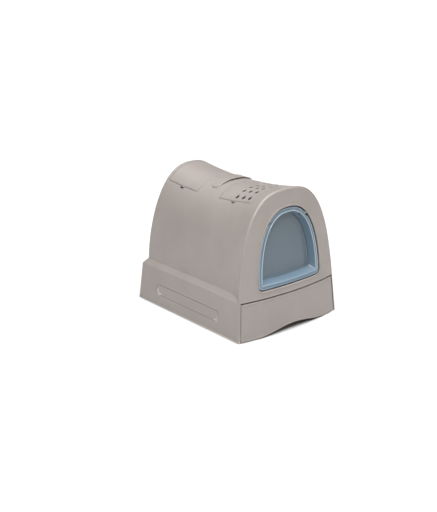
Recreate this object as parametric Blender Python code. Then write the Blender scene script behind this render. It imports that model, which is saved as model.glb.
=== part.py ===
"""Cat litter box with a vaulted hood, a front drawer, a swing door and two top hatches.

Frame: +X to the object's right seen from the front, the front faces -Y, +Z up, and the
origin on the floor under the middle of the skirt. Lengths are metres.
"""
import math

import bmesh
import bpy
from mathutils import Matrix, Vector

# ---- Driving dimensions ---------------------------------------------------------------
WIDTH = 0.400               # skirt at the floor
DEPTH = 0.4816              # skirt at the floor, corner to corner
DRAFT = 0.081               # inward lean of the skirt and of the whole front, per metre
SKIRT_HEIGHT = 0.1174       # top of the skirt, and of the drawer's opening
SHOULDER_TOP = 0.1343       # where the hood rises from the sloping shoulder
HOOD_HALF = 0.1758          # half width of the hood behind its flared front
HOOD_REAR = 0.2176          # back wall of the hood
CROWN_REAR = 0.4214         # height of the ridge at the back
CROWN_MID = 0.4018          # height of the ridge at its lowest, in the middle
CROWN_FRONT = 0.4218        # height of the ridge at the front
FLARE_SPAN = 0.15           # part of the hood's length that flares out to the front
BOW_FLOOR = 0.022           # how far the front bulges in plan, at the floor
BOW_LOSS = 0.0175           # how much of that bulge is lost, per metre of height
WALL = 0.003                # hood wall
SIDE_NIB = 0.001            # how far the side walls' front edges turn in
GAP = 0.0004                # between pieces that touch
SLIT = 0.0009               # visible joint lines

DOOR_HALF = 0.1245          # door opening, half width at its foot
DOOR_FOOT = 0.138           # door opening, lowest edge
DOOR_CROWN = 0.3675         # door opening, highest point
DOOR_CORNER = 0.016         # radius of its lower corners
DOOR_WIDE, DOOR_TALL = 0.82, 0.965      # powers of the arch's curve
DOOR_FLAT_X = 0.080         # the dish's floor lies level with the face here
DOOR_GAP = 0.0026           # between the opening and the flap
DOOR_SUNK = 0.0022          # how far the flap's rim sits behind the face
DOOR_RIM = 0.0140           # width of the flap's rim
DOOR_DISH = 0.0270          # depth of the flap's dish
DOOR_SLOPE = 0.0115         # how far the dish's sides lean in
DOOR_SKIN = 0.0022          # flap wall
DOOR_AXIS_Z = 0.335
DOOR_AXIS_SUNK = 0.0095     # hinge line behind the face
DOOR_SCALLOP = 0.0063       # radius of the flap's relief beside each pivot
SCALLOP_X, SCALLOP_Z = 0.0770, 0.3316   # its centre, beyond the flap's edge

HATCH_HALF = 0.0970         # both hatches, half width across the ridge
HATCH_LENGTH = 0.1365
BAG_HATCH_Y = 0.1370        # centre of the rear hatch
VENT_HATCH_Y = -0.1010      # centre of the front hatch
LID_SKIN = 0.0025
FLANGE_TOP = 0.0028         # depth at which a compartment's flange lies
FLANGE_SKIN = 0.0015
LEDGE_TOP = 0.0046          # depth of the ledge that carries the flange
LEDGE_SKIN = 0.0020
LEDGE_REACH = 0.0040
HINGE_X = 0.0990
HINGE_DROP = 0.0044
HINGE_PIN = 0.0015
VENT_X = -0.0837            # the row of vent holes nearest the free edge
VENT_PITCH, VENT_RADIUS = 0.0262, 0.0063
NOTCH_X, NOTCH_Y = 0.0075, 0.0125       # half axes of the finger notches

HANDLE_Y = 0.0185
HANDLE_WIDTH = 0.0350
HANDLE_HALF = 0.0740
HANDLE_ARCH = 0.0034        # clear height under the strap at its middle
HANDLE_SKIN = 0.0030
HANDLE_LEG_X = 0.0560
HANDLE_TRAVEL = 0.0220

DRAWER_HALF = 0.1800        # tray, outside at its top
DRAWER_FRONT = -0.2200
DRAWER_REAR = 0.2240
DRAWER_FLOOR = 0.0062       # underside of the tray
DRAWER_TOP = 0.1106
PANEL_TOP = 0.1135
PANEL_SKIN = 0.003
PANEL_SIDE_GAP = 0.0020      # beside the panel
PEG_PLACES = (-0.120, 0.120)
PEG_Y = DRAWER_FRONT + 0.004
GRIP_RISE = 0.0180
GRIP_HALF = 0.146

PAN_SKIN = 0.003
PAN_FRONT = -0.195
PAN_WALL = 0.025
RUNNER_X = 0.120

ARCH_STEPS = 28             # facets over the vault
ROUND_STEPS = 20            # facets round a pin


# ---- Materials ------------------------------------------------------------------------
def material(name, color, roughness, metallic=0.0, alpha=1.0):
    mat = bpy.data.materials.new(name)
    mat.use_nodes = True
    shader = mat.node_tree.nodes["Principled BSDF"]
    shader.inputs["Base Color"].default_value = (*color, 1.0)
    shader.inputs["Roughness"].default_value = roughness
    shader.inputs["Metallic"].default_value = metallic
    shader.inputs["Alpha"].default_value = alpha
    mat.diffuse_color = (*color, alpha)
    return mat


# ---- Mesh helpers ---------------------------------------------------------------------
def add_object(name, bm, mat=None, axis=None, smooth=False):
    """Make a named object; axis moves its origin to a point on its joint's axis."""
    bmesh.ops.remove_doubles(bm, verts=bm.verts, dist=1e-6)
    bmesh.ops.recalc_face_normals(bm, faces=bm.faces)
    mesh = bpy.data.meshes.new(name)
    bm.to_mesh(mesh)
    bm.free()
    obj = bpy.data.objects.new(name, mesh)
    bpy.context.collection.objects.link(obj)
    if mat:
        mesh.materials.append(mat)
    if axis:
        mesh.transform(Matrix.Translation(-Vector(axis)))
        obj.location = axis
    if smooth:
        mesh.shade_smooth()
        mesh.set_sharp_from_angle(angle=math.radians(35))
    return obj


def cutter(name, bm):
    """A guide that only shapes other pieces."""
    obj = add_object(name, bm)
    obj.hide_render = True
    obj.display_type = 'WIRE'
    return obj


def boolean(obj, tool, operation):
    mod = obj.modifiers.new(operation.lower() + "_" + tool.name, 'BOOLEAN')
    mod.operation = operation
    mod.object = tool
    mod.solver = 'EXACT'


def carve(obj, *tools):
    for tool in tools:
        boolean(obj, tool, 'DIFFERENCE')


def weld(obj, *tools):
    for tool in tools:
        boolean(obj, tool, 'UNION')


def loft(rings):
    """A closed solid through rings of equal point count, capped at both ends."""
    bm = bmesh.new()
    loops = [[bm.verts.new(p) for p in ring] for ring in rings]
    count = len(rings[0])
    for low, high in zip(loops, loops[1:]):
        for i in range(count):
            j = (i + 1) % count
            bm.faces.new((low[i], low[j], high[j], high[i]))
    bm.faces.new(loops[0][::-1])
    bm.faces.new(loops[-1])
    return bm


def box(x0, x1, y0, y1, z0, z1):
    return loft([[(x0, y0, z), (x1, y0, z), (x1, y1, z), (x0, y1, z)] for z in (z0, z1)])


def rounded_rect(x0, x1, y0, y1, radius, z, steps=5):
    corners = ((x1, y0, -90), (x1, y1, 0), (x0, y1, 90), (x0, y0, 180))
    ring = []
    for cx, cy, start in corners:
        ox = cx - math.copysign(radius, cx - (x0 + x1) / 2)
        oy = cy - math.copysign(radius, cy - (y0 + y1) / 2)
        for k in range(steps + 1):
            angle = math.radians(start + 90 * k / steps)
            ring.append((ox + radius * math.cos(angle), oy + radius * math.sin(angle), z))
    return ring


def turned(profile, center, direction, steps=ROUND_STEPS):
    """A solid of revolution: profile is (distance along, radius) pairs on an axis."""
    turn = Vector((0, 0, 1)).rotation_difference(Vector(direction)).to_matrix()
    rings = []
    for along, radius in profile:
        ring = []
        for k in range(steps):
            angle = 2 * math.pi * (k + 0.5) / steps
            local = Vector((radius * math.cos(angle), radius * math.sin(angle), along))
            ring.append(Vector(center) + turn @ local)
        rings.append(ring)
    return loft(rings)


def rod(center, direction, length, radius, steps=ROUND_STEPS):
    return turned([(-length / 2, radius), (length / 2, radius)], center, direction, steps)


# ---- The hood's surface ---------------------------------------------------------------
def front_y(x, z):
    """The leaning front, bowed in plan."""
    half = WIDTH / 2 - DRAFT * min(z, SKIRT_HEIGHT)
    bow = BOW_FLOOR - BOW_LOSS * z
    return -DEPTH / 2 + DRAFT * z - bow * (1 - (x / half) ** 2)


def rear_y(z):
    """The back: the leaning skirt, the shoulder, then the upright hood."""
    skirt = DEPTH / 2 - DRAFT * SKIRT_HEIGHT
    if z <= SKIRT_HEIGHT:
        return DEPTH / 2 - DRAFT * z
    if z >= SHOULDER_TOP:
        return HOOD_REAR
    part = (z - SKIRT_HEIGHT) / (SHOULDER_TOP - SKIRT_HEIGHT)
    return skirt + (HOOD_REAR - skirt) * part


def vault(u):
    """Half width, springing, crown and curve powers at u, from 0 (rear) to 1 (front)."""
    flare = max(0.0, (u - 1 + FLARE_SPAN) / FLARE_SPAN) ** 2
    skirt_half = WIDTH / 2 - DRAFT * SKIRT_HEIGHT
    half = HOOD_HALF + (skirt_half - HOOD_HALF) * flare
    spring = SHOULDER_TOP + (SKIRT_HEIGHT - SHOULDER_TOP) * flare
    rear, middle, front = (1 - u) * (1 - 2 * u), 4 * u * (1 - u), u * (2 * u - 1)
    crown = CROWN_REAR * rear + CROWN_MID * middle + CROWN_FRONT * front
    return half, spring, crown, 0.820 - 0.126 * u, 1.200 - 0.135 * u


def section(u, inset, floor):
    """Right half of a cross-section as (x, z), from the floor up to the crown."""
    half, spring, crown, wide, tall = vault(u)
    drop = 0.37 * inset
    skirt_half = WIDTH / 2 - DRAFT * SKIRT_HEIGHT
    floor_half = WIDTH / 2 - DRAFT * floor
    points = [(floor_half - inset, floor), (skirt_half - inset, SKIRT_HEIGHT - drop)]
    foot = spring - drop
    half -= inset
    crown -= inset
    for k in range(ARCH_STEPS // 2 + 1):
        angle = math.pi * k / ARCH_STEPS
        x = half * max(0.0, math.cos(angle)) ** wide
        z = foot + (crown - foot) * math.sin(angle) ** tall
        points.append((0.0 if k == ARCH_STEPS // 2 else x, z))
    return points


def station(x, z, u, inset):
    """A point of the section placed along the hood's length."""
    rear = rear_y(z + 0.37 * inset) - inset
    front = front_y(x, z) + inset
    return Vector((x, rear + (front - rear) * u, z))


STATIONS = [0, 0.1, 0.2, 0.3, 0.4, 0.5, 0.6, 0.7, 0.78, 0.85, 0.89, 0.93, 0.97, 1]
FACE_COLUMNS = 12


def hood_solid(inset, floor=0.0):
    """The solid inside the hood's surface, moved in by inset."""
    bm = bmesh.new()
    sections = [section(u, inset, floor) for u in STATIONS]
    for side in (1, -1):
        grid = []
        for u, points in zip(STATIONS, sections):
            grid.append([bm.verts.new(station(side * x, z, u, inset)) for x, z in points])
        add_grid(bm, grid)
    add_grid(bm, cap_rows(bm, sections[0], 0, inset, 1))
    add_grid(bm, cap_rows(bm, sections[-1], 1, inset, FACE_COLUMNS))
    bmesh.ops.remove_doubles(bm, verts=bm.verts, dist=1e-6)
    bmesh.ops.dissolve_degenerate(bm, edges=bm.edges, dist=1e-6)
    rim = [e for e in bm.edges if e.is_boundary]
    bmesh.ops.edgeloop_fill(bm, edges=rim)
    return bm


def cap_rows(bm, points, u, inset, columns):
    rows = []
    for x, z in points:
        row = []
        for k in range(columns + 1):
            across = x * (2 * k / columns - 1)
            row.append(bm.verts.new(station(across, z, u, inset)))
        rows.append(row)
    return rows


def add_grid(bm, rows):
    for low, high in zip(rows, rows[1:]):
        for a, b, c, d in zip(low, low[1:], high[1:], high):
            bm.faces.new((a, b, c, d))


def ridge_z(x, y):
    """Height of the hood's top at a point in plan."""
    z = CROWN_MID
    for _ in range(12):
        front = front_y(x, z)
        u = min(1.0, max(0.0, (HOOD_REAR - y) / (HOOD_REAR - front)))
        half, spring, crown, wide, tall = vault(u)
        cosine = min(1.0, abs(x) / half) ** (1 / wide)
        z = spring + (crown - spring) * math.sqrt(1 - cosine * cosine) ** tall
    return z


def layer(name, top, bottom):
    """A shell between two depths under the hood's surface, kept as a guide."""
    outer = cutter(name, hood_solid(top))
    inner = cutter(name + "_core", hood_solid(bottom, -0.02))
    carve(outer, inner)
    return outer


# ---- Door outline ---------------------------------------------------------------------
def door_outline(inset, steps=30):
    """The door's arch as (x, z), from the middle of its foot round by the right."""
    half = DOOR_HALF - inset
    foot = DOOR_FOOT + inset
    crown = DOOR_CROWN - inset
    radius = max(DOOR_CORNER - inset, 0.005)
    right = [((half - radius) * k / 4, foot) for k in range(1, 4)]
    for k in range(5):
        angle = math.radians(-90 + 80 * k / 4)
        x = half - radius + radius * math.cos(angle)
        right.append((x, foot + radius * (1 + math.sin(angle))))
    start = foot + radius
    for k in range(1, steps // 2):
        angle = math.pi * k / steps
        x = half * math.cos(angle) ** DOOR_WIDE
        right.append((x, start + (crown - start) * math.sin(angle) ** DOOR_TALL))
    left = [(-x, z) for x, z in right[::-1]]
    return [(0.0, foot)] + right + [(0.0, crown)] + left


def door_ring(inset, sunk):
    """The outline on the bowed face, sunk behind it."""
    return [(x, front_y(x, z) + sunk, z) for x, z in door_outline(inset)]


def flat_ring(inset, sunk):
    """The outline on the flat plane of the dish's floor."""
    return [(x, front_y(DOOR_FLAT_X, z) + sunk, z) for x, z in door_outline(inset)]


# ---- Hood -----------------------------------------------------------------------------
def skirt_lip():
    """A small bead round the foot of the sides and the back."""
    reach, top = 0.0015, 0.004
    bm = bmesh.new()
    half, back, front = WIDTH / 2, DEPTH / 2, front_y(WIDTH / 2, 0) + 0.001
    inner = 0.0015
    paths = []
    for out, z in ((reach, 0), (reach, top), (-inner, top), (-inner, 0)):
        x, y = half + out, back + out
        path = [(-x, front, z), (-x, y, z), (x, y, z), (x, front, z)]
        paths.append([bm.verts.new(p) for p in path])
    for first, second in zip(paths, paths[1:] + paths[:1]):
        for i in range(3):
            bm.faces.new((first[i], first[i + 1], second[i + 1], second[i]))
    bm.faces.new([path[0] for path in paths])
    bm.faces.new([path[3] for path in paths])
    return cutter("hood_lip", bm)


def drawer_opening():
    """Everything of the front below the hood's face, between the side walls."""
    rings = []
    for z in (-0.01, SKIRT_HEIGHT):
        half = WIDTH / 2 - DRAFT * z - WALL - SIDE_NIB
        rings.append([(-half, -0.30, z), (half, -0.30, z), (half, -0.19, z), (-half, -0.19, z)])
    return cutter("drawer_opening", loft(rings))


def door_opening():
    outline = door_outline(0)
    rings = [[(x, y, z) for x, z in outline] for y in (-0.30, -0.17)]
    return cutter("door_opening", loft(rings))


def hinge_lug(side):
    """Plate behind the face that carries one door pin."""
    x = side * 0.0860
    y = front_y(x, DOOR_AXIS_Z) + 0.0015
    lug = box(x - 0.0020, x + 0.0020, y, y + 0.0180, DOOR_AXIS_Z - 0.008, DOOR_AXIS_Z + 0.008)
    name = "door_lug_" + ("right" if side > 0 else "left")
    plate = cutter(name, lug)
    carve(plate, cutter(name + "_bore", rod(door_axis(), (1, 0, 0), 0.20, 0.0028)))
    return plate


def hatch_box(name, center_y, margin, far_margin, z0=0.30, z1=0.46):
    """Upright block over a hatch; margin widens it, far_margin moves its hinge side."""
    half = HATCH_LENGTH / 2 + margin
    bm = box(-HATCH_HALF - margin, HATCH_HALF + far_margin, center_y - half, center_y + half, z0, z1)
    return cutter(name, bm)


def hatch_frame(label, center_y):
    """Ledge under the lid's edge, with the collar that joins it to the hood."""
    ledge = layer(label + "_ledge", LEDGE_TOP, LEDGE_TOP + LEDGE_SKIN)
    carve(ledge, hatch_box(label + "_ledge_hole", center_y, -LEDGE_REACH, 0.0071))
    boolean(ledge, hatch_box(label + "_ledge_rim", center_y, 0.0044, -0.0040), 'INTERSECT')
    collar = layer(label + "_collar", WALL - 0.0003, LEDGE_TOP + 0.0003)
    carve(collar, hatch_box(label + "_collar_hole", center_y, 0.0012, 0.0074))
    boolean(collar, hatch_box(label + "_collar_rim", center_y, 0.0037, -0.0046), 'INTERSECT')
    return ledge, collar


def finger_notch(label, center_y):
    """Half-round dimple beside the lid's free edge."""
    z = ridge_z(HATCH_HALF, center_y)
    rings = []
    for level in (z - 0.010, z + 0.010):
        ring = []
        for k in range(ROUND_STEPS):
            angle = 2 * math.pi * k / ROUND_STEPS
            x, y = NOTCH_X * math.cos(angle), NOTCH_Y * math.sin(angle)
            ring.append((-HATCH_HALF + 0.0010 + x, center_y + y, level))
        rings.append(ring)
    return cutter(label + "_notch", loft(rings))


def hinge_point(center_y, along):
    """A point on a hatch's hinge line, from its front end (-1) to its rear end (1)."""
    reach = HATCH_LENGTH / 2
    front, rear = (ridge_z(HINGE_X, center_y + end * reach) - HINGE_DROP for end in (-1, 1))
    z = front + (rear - front) * (along + 1) / 2
    return Vector((HINGE_X, center_y + along * reach, z))


def hinge_direction(center_y):
    return (hinge_point(center_y, 1) - hinge_point(center_y, -1)).normalized()


def pin_lug(label, center_y, end):
    """Eye under the hood for one end of a hatch's hinge pin, with its foot."""
    place = hinge_point(center_y, end * 0.955)
    _, y, z = place
    name = "%s_pin_lug_%d" % (label, 1 + (end > 0))
    eye = rod(place, hinge_direction(center_y), 0.0048, 0.0034, 16)
    foot = box(HINGE_X - 0.0015, HINGE_X + 0.0069, y - 0.0022, y + 0.0022, z - 0.0062, z - 0.0031)
    lug = cutter(name, eye)
    weld(lug, cutter(name + "_foot", foot))
    carve(lug, pin_hole(name + "_bore", center_y))
    return lug


def pin_hole(label, center_y):
    middle, length = hinge_point(center_y, 0), HATCH_LENGTH * 1.03
    return cutter(label, rod(middle, hinge_direction(center_y), length, HINGE_PIN + GAP))


def handle_slot(side):
    z = ridge_z(HANDLE_LEG_X, HANDLE_Y)
    x = side * HANDLE_LEG_X
    slot = box(x - 0.0026, x + 0.0026, HANDLE_Y - 0.0080, HANDLE_Y + 0.0080, z - 0.02, z + 0.02)
    return cutter("handle_slot_" + ("right" if side > 0 else "left"), slot)


def pan_boss(index, x, y):
    """Post in the skirt that a pan screw runs into."""
    side = math.copysign(1, x)
    x0, x1 = sorted((x - side * 0.0045, x + side * 0.0085))
    bm = box(x0, x1, y - 0.0045, y + 0.0045, PAN_SKIN + GAP, 0.018)
    boss = cutter("pan_boss_%d" % index, bm)
    carve(boss, cutter("pan_bore_%d" % index, rod((x, y, 0.010), (0, 0, 1), 0.030, 0.0018, 12)))
    return boss


def screw_places():
    return [(sx * 0.1895, sy) for sx in (-1, 1) for sy in (-0.150, 0.150)]


def side_panel(side):
    """Raised racetrack panel on the skirt's side."""
    length, height, mid_z = 0.296, 0.033, 0.0535
    radius = height / 2
    rings = []
    for depth in (-0.0015, 0.0008):
        ring = []
        for k in range(20):
            angle = 2 * math.pi * (k + 0.5) / 20
            y = 0.002 + math.copysign(length / 2 - radius, math.cos(angle)) + radius * math.cos(angle)
            z = mid_z + radius * math.sin(angle)
            x = side * (WIDTH / 2 - DRAFT * z + depth)
            ring.append((x, y, z))
        rings.append(ring)
    return cutter("side_panel_" + ("right" if side > 0 else "left"), loft(rings))


def build_hood(mat):
    hood = add_object("hood_shell", hood_solid(0.0), mat)
    carve(hood, cutter("hood_core", hood_solid(WALL, -0.02)), drawer_opening())
    weld(hood, skirt_lip(), side_panel(-1), side_panel(1), hinge_lug(-1), hinge_lug(1))
    carve(hood, door_opening())
    for label, y in (("bag", BAG_HATCH_Y), ("vent", VENT_HATCH_Y)):
        carve(hood, hatch_box(label + "_opening", y, SLIT, 0.0071), finger_notch(label, y))
        weld(hood, *hatch_frame(label, y))
        weld(hood, pin_lug(label, y, -1), pin_lug(label, y, 1))
    carve(hood, handle_slot(-1), handle_slot(1))
    for index, (x, y) in enumerate(screw_places(), 1):
        weld(hood, pan_boss(index, x, y))
    return hood


# ---- Top hatches ----------------------------------------------------------------------
def hatch_lid(name, center_y, mat, vents=False):
    """Lid cut from the hood's surface, with two hinge barrels on webs."""
    axis = hinge_point(center_y, 0)
    lid = layer(name, 0.0, LID_SKIN)
    lid.hide_render = False
    lid.display_type = 'SOLID'
    lid.data.materials.append(mat)
    boolean(lid, hatch_box(name + "_outline", center_y, 0.0, -0.0035), 'INTERSECT')
    for index, along in enumerate((-0.66, 0.66), 1):
        place = hinge_point(center_y, along)
        edge = Vector((0.0900, place.y, ridge_z(0.0900, place.y) - LID_SKIN / 2))
        reach = edge - place
        web = box(0.0, reach.length, -0.0058, 0.0058, -0.0011, 0.0011)
        turn = Vector((1, 0, 0)).rotation_difference(reach).to_matrix().to_4x4()
        bmesh.ops.transform(web, matrix=Matrix.Translation(place) @ turn, verts=web.verts)
        barrel = rod(place, hinge_direction(center_y), 0.012, 0.0033, 16)
        weld(lid, cutter("%s_web_%d" % (name, index), web))
        weld(lid, cutter("%s_barrel_%d" % (name, index), barrel))
    carve(lid, pin_hole(name + "_bore", center_y))
    if vents:
        for row in range(7):
            for column in range(3):
                x, y = VENT_X + row * VENT_PITCH, center_y + (column - 2) * VENT_PITCH
                hole = rod((x, y, 0.40), (0, 0, 1), 0.12, VENT_RADIUS, 12)
                carve(lid, cutter("vent_hole_%d_%d" % (row + 1, column + 1), hole))
    lid.data.transform(Matrix.Translation(-Vector(axis)))
    lid.location = axis
    return lid


def hinge_pin(name, center_y, mat):
    middle = hinge_point(center_y, 0)
    pin = rod(middle, hinge_direction(center_y), HATCH_LENGTH - 0.0006, HINGE_PIN, 12)
    return add_object(name, pin, mat, smooth=True)


# ---- Compartments under the hatches ---------------------------------------------------
def bag_box(mat):
    """Open box hung by a flange on the rear hatch's ledge."""
    y0, y1 = BAG_HATCH_Y - HATCH_LENGTH / 2, BAG_HATCH_Y + HATCH_LENGTH / 2
    inset, skin, floor = 0.0062, 0.002, 0.330
    half = HATCH_HALF - inset
    tub = add_object("bag_compartment", box(-half, half, y0 + inset, y1 - inset, floor, 0.45), mat)
    below = cutter("bag_box_top", hood_solid(FLANGE_TOP))
    boolean(tub, below, 'INTERSECT')
    flange = layer("bag_box_flange", FLANGE_TOP, FLANGE_TOP + FLANGE_SKIN)
    boolean(flange, hatch_box("bag_box_rim", BAG_HATCH_Y, -0.0004, -0.0072), 'INTERSECT')
    weld(tub, flange)
    hollow = box(-half + skin, half - skin, y0 + inset + skin, y1 - inset - skin, floor + skin, 0.46)
    carve(tub, cutter("bag_box_hollow", hollow))
    return tub


def bag_roll(mat_bag, mat_core):
    y = BAG_HATCH_Y + 0.0390
    z = 0.332 + 0.0172
    add_object("bag_roll_core", tube((0, y, z), 0.156, 0.0085, 0.0073), mat_core, smooth=True)
    add_object("bag_roll", tube((0, y, z), 0.150, 0.0168, 0.0089), mat_bag, smooth=True)


def tube(center, length, outer, inner, steps=24):
    """A pipe lying along X."""
    bm = bmesh.new()
    loops = []
    for radius, x in ((outer, -1), (outer, 1), (inner, 1), (inner, -1)):
        loop = []
        for k in range(steps):
            angle = 2 * math.pi * k / steps
            place = (center[0] + x * length / 2, center[1] + radius * math.cos(angle),
                     center[2] + radius * math.sin(angle))
            loop.append(bm.verts.new(place))
        loops.append(loop)
    for first, second in zip(loops, loops[1:] + loops[:1]):
        for i in range(steps):
            j = (i + 1) % steps
            bm.faces.new((first[i], first[j], second[j], second[i]))
    return bm


def scoop(mat):
    """Small slotted litter scoop lying in the compartment."""
    y, z = BAG_HATCH_Y - 0.0200, 0.3324
    blade = []
    shape = ((0.034, 0.0), (0.037, 0.024), (0.035, 0.024), (0.0322, 0.002))
    for half, lift in shape:
        shrink = 0.037 - half
        ring = rounded_rect(-0.082 + shrink, 0.018 - shrink, y - half, y + half, 0.012, z + lift, 4)
        blade.append(ring)
    body = add_object("scoop", loft(blade), mat)
    bar = box(0.016, 0.084, y - 0.0085, y + 0.0085, z + 0.015, z + 0.0215)
    weld(body, cutter("scoop_grip", bar))
    for k in range(7):
        x = -0.072 + 0.012 * k
        slot = box(x, x + 0.0045, y - 0.026, y + 0.026, z - 0.01, z + 0.01)
        carve(body, cutter("scoop_slot_%d" % (k + 1), slot))
    return body


def filter_cage(mat):
    """Arched grille hung under the vented hatch."""
    deep = 0.0140
    cage = layer("filter_cage", FLANGE_TOP, deep)
    cage.hide_render = False
    cage.display_type = 'SOLID'
    cage.data.materials.append(mat)
    boolean(cage, hatch_box("cage_outline", VENT_HATCH_Y, -0.0062, -0.0102), 'INTERSECT')
    flange = layer("cage_flange", FLANGE_TOP, FLANGE_TOP + FLANGE_SKIN)
    boolean(flange, hatch_box("cage_rim", VENT_HATCH_Y, -0.0004, -0.0112), 'INTERSECT')
    weld(cage, flange)
    hollow = layer("cage_hollow", 0.0, deep - 0.0016)
    boolean(hollow, hatch_box("cage_hollow_rim", VENT_HATCH_Y, -0.0080, -0.0120), 'INTERSECT')
    carve(cage, hollow)
    for k in range(6):
        y = VENT_HATCH_Y + (k - 2.5) * 0.0190
        slot = box(-0.078, 0.074, y - 0.0055, y + 0.0055, 0.30, 0.45)
        carve(cage, cutter("cage_slot_%d" % (k + 1), slot))
    return cage


def filter_pad(mat):
    pad = layer("filter_pad", FLANGE_TOP + 0.0006, 0.0120)
    pad.hide_render = False
    pad.display_type = 'SOLID'
    pad.data.materials.append(mat)
    boolean(pad, hatch_box("pad_outline", VENT_HATCH_Y, -0.0088, -0.0128), 'INTERSECT')
    return pad


# ---- Carry handle ---------------------------------------------------------------------
def strap_line(x):
    """Underside of the strap: on the hood at its ends, clear of it in the middle."""
    lift = GAP + (HANDLE_ARCH - GAP) * max(0.0, 1 - (x / (HANDLE_HALF - 0.012)) ** 2)
    across = (-HANDLE_WIDTH / 2, 0, HANDLE_WIDTH / 2)
    return max(ridge_z(x, HANDLE_Y + dy) for dy in across) + lift


def carry_handle(mat):
    """Arched strap with rounded ends and two barbed legs through the hood."""
    stations = 22
    rings = []
    for k in range(stations + 1):
        x = HANDLE_HALF * math.sin(math.pi / 2 * (2 * k / stations - 1))
        short = max(0.0, abs(x) - (HANDLE_HALF - HANDLE_WIDTH / 2)) / (HANDLE_WIDTH / 2)
        half = max(0.0015, HANDLE_WIDTH / 2 * math.sqrt(max(0.0, 1 - short * short)))
        z = strap_line(x)
        edge = min(0.0008, half / 3)
        rings.append([(x, HANDLE_Y - half, z), (x, HANDLE_Y + half, z),
                      (x, HANDLE_Y + half, z + HANDLE_SKIN - 0.0008),
                      (x, HANDLE_Y + half - edge, z + HANDLE_SKIN),
                      (x, HANDLE_Y - half + edge, z + HANDLE_SKIN),
                      (x, HANDLE_Y - half, z + HANDLE_SKIN - 0.0008)])
    handle = add_object("carry_handle", loft(rings), mat, axis=(0, HANDLE_Y, CROWN_MID))
    for side in (-1, 1):
        name = "right" if side > 0 else "left"
        x = side * HANDLE_LEG_X
        top = strap_line(x) + 0.0015
        foot = clip_z() - 0.0030
        y = HANDLE_Y
        leg = box(x - 0.0015, x + 0.0015, y - 0.0070, y + 0.0070, foot, top)
        barb = box(x - 0.0030, x + 0.0030, y - 0.0065, y + 0.0065, foot - 0.003, foot + 0.001)
        weld(handle, cutter("handle_leg_" + name, leg), cutter("handle_barb_" + name, barb))
    return handle


def clip_z():
    """Underside of the stop clips with the handle down."""
    return ridge_z(HANDLE_LEG_X, HANDLE_Y) - 0.0110 - HANDLE_TRAVEL


def handle_clip(side, mat):
    x, z = side * HANDLE_LEG_X, clip_z()
    name = "handle_clip_" + ("right" if side > 0 else "left")
    plate = box(x - 0.0060, x + 0.0060, HANDLE_Y - 0.0130, HANDLE_Y + 0.0130, z, z + 0.004)
    clip = add_object(name, plate, mat, axis=(0, HANDLE_Y, CROWN_MID))
    slot = box(x - 0.0019, x + 0.0019, HANDLE_Y - 0.0074, HANDLE_Y + 0.0074, z - 0.01, z + 0.02)
    carve(clip, cutter(name + "_slot", slot))
    return clip


# ---- Swing door -----------------------------------------------------------------------
def door_axis():
    return (0, front_y(0, DOOR_AXIS_Z) + DOOR_AXIS_SUNK, DOOR_AXIS_Z)


def door_flap(mat):
    """Dished flap: a rim, sloping sides and a flat middle."""
    edge, lip = DOOR_GAP, DOOR_GAP + DOOR_RIM
    deep = DOOR_SUNK + DOOR_DISH
    front = [door_ring(edge, DOOR_SUNK), door_ring(lip, DOOR_SUNK), flat_ring(lip + DOOR_SLOPE, deep)]
    back = [flat_ring(lip + DOOR_SLOPE - 0.0014, deep + DOOR_SKIN),
            door_ring(lip - 0.0018, DOOR_SUNK + DOOR_SKIN), door_ring(edge, DOOR_SUNK + DOOR_SKIN)]
    flap = add_object("door_flap", loft(back + front), mat, axis=door_axis())
    for side in (-1, 1):
        name = "right" if side > 0 else "left"
        x0, x1 = sorted((side * 0.0590, side * 0.0650))
        y = front_y(side * 0.062, DOOR_AXIS_Z)
        z0, z1 = DOOR_AXIS_Z - 0.0065, DOOR_AXIS_Z + 0.0065
        ear = box(x0, x1, y + DOOR_SUNK + 0.001, y + 0.0150, z0, z1)
        weld(flap, cutter("door_ear_" + name, ear))
        scallop = rod((side * SCALLOP_X, y, SCALLOP_Z), (0, 1, 0), 0.05, DOOR_SCALLOP)
        carve(flap, cutter("door_scallop_" + name, scallop))
    carve(flap, cutter("door_ear_bore", rod(door_axis(), (1, 0, 0), 0.20, 0.0028)))
    return flap


def door_pin(side, mat):
    name = "door_pin_" + ("right" if side > 0 else "left")
    _, y, z = door_axis()
    start = (side * 0.0565, y, z)
    profile = [(0, 0.0032), (0.0020, 0.0032), (0.0020, 0.0024), (0.0325, 0.0024)]
    return add_object(name, turned(profile, start, (side, 0, 0), 16), mat, smooth=True)


# ---- Drawer ---------------------------------------------------------------------------
def litter_tray(mat):
    """Deep tray with a narrow rim; it slides on the pan's runners."""
    y0, y1, half = DRAWER_FRONT, DRAWER_REAR, DRAWER_HALF
    slope, skin, rim = 0.006, 0.0025, 0.008
    rings = []
    for shrink, z, radius in ((slope + rim, DRAWER_FLOOR, 0.020), (rim, DRAWER_TOP - 0.003, 0.026),
                              (0, DRAWER_TOP - 0.003, 0.030), (0, DRAWER_TOP, 0.030),
                              (rim + skin, DRAWER_TOP, 0.0235),
                              (slope + rim + skin, DRAWER_FLOOR + skin, 0.0175)):
        rings.append(rounded_rect(-half + shrink, half - shrink, y0 + shrink, y1 - shrink, radius, z))
    tray = add_object("litter_tray", loft(rings), mat, axis=(0, 0, DRAWER_FLOOR))
    for index, x in enumerate(PEG_PLACES, 1):
        hole = rod((x, PEG_Y, DRAWER_TOP), (0, 0, 1), 0.020, 0.0020, 12)
        carve(tray, cutter("tray_peg_hole_%d" % index, hole))
    return tray


def grip_line(x):
    """Lower edge of the drawer's front, arched for the hand."""
    if abs(x) >= GRIP_HALF:
        return 0.0010
    return 0.0010 + GRIP_RISE * math.cos(math.pi * x / (2 * GRIP_HALF)) ** 2


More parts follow.
